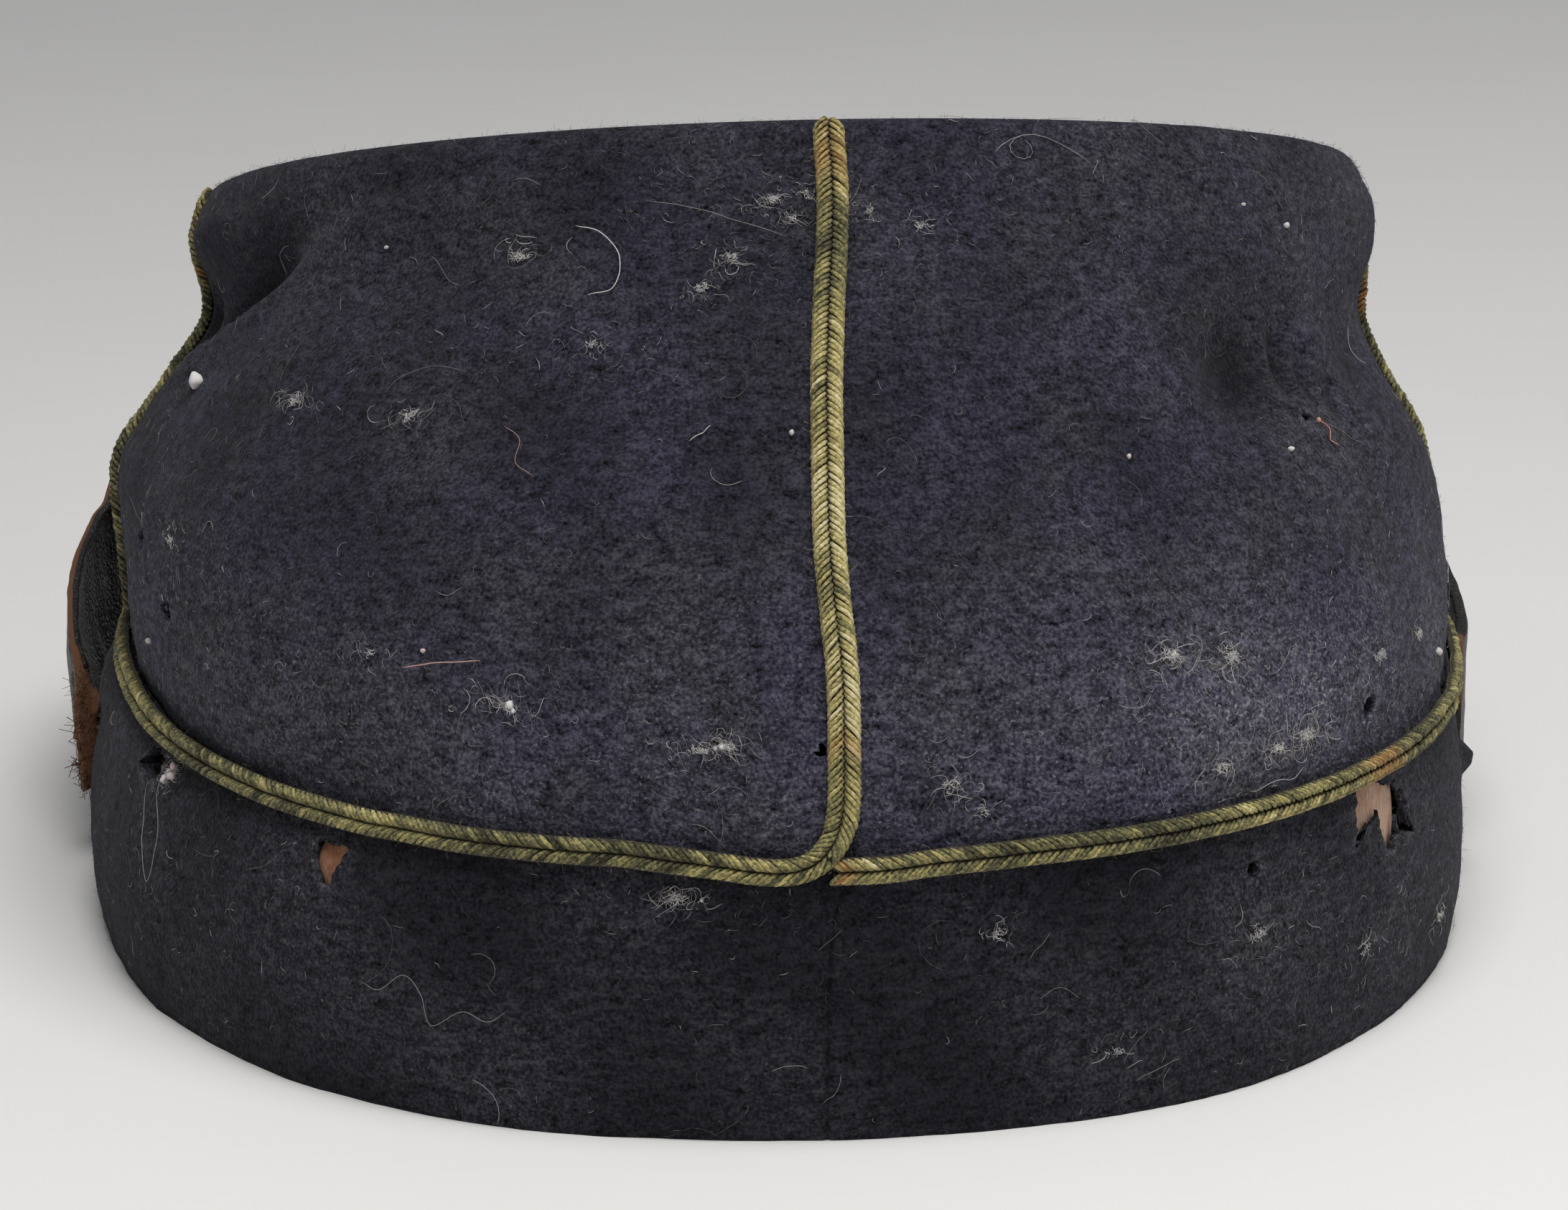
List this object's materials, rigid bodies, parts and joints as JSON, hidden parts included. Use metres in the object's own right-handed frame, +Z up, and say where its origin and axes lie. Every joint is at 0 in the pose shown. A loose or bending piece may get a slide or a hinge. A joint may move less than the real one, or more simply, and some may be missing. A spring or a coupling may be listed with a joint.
{
  "type": "kepi cap",
  "caption": "Worn wool kepi cap: stiffened upright band, slumped crown with a tilted round top, corded braid over the seams, leather chin strap and flat peak; hollow for the head.",
  "frame": {"origin": "on the floor under the middle of the cap's box, peak included", "axes": "+Z up, +Y from the back of the cap to the peak, +X to the right seen from the back"},
  "size_m": [0.1785, 0.2383, 0.1035],
  "materials": {
    "crown_wool": "fulled navy wool, dusty and moth-eaten",
    "band_wool": "fulled navy wool, darker and rubbed",
    "braid": "olive and gold corded braid, worn",
    "leather": "black face, brown cut edges",
    "stiffener": "tan, fibrous, matt"
  },
  "bodies": {
    "root": {"band": "band_wool", "band_stiffener": "stiffener", "crown_back_left": "crown_wool", "crown_back_right": "crown_wool", "crown_front_left": "crown_wool", "crown_front_right": "crown_wool", "crown_top": "crown_wool", "braid_band_back": "braid", "braid_left": "braid", "braid_right": "braid", "braid_front": "braid", "chin_strap": "leather", "peak": "leather"}
  },
  "joints": []
}
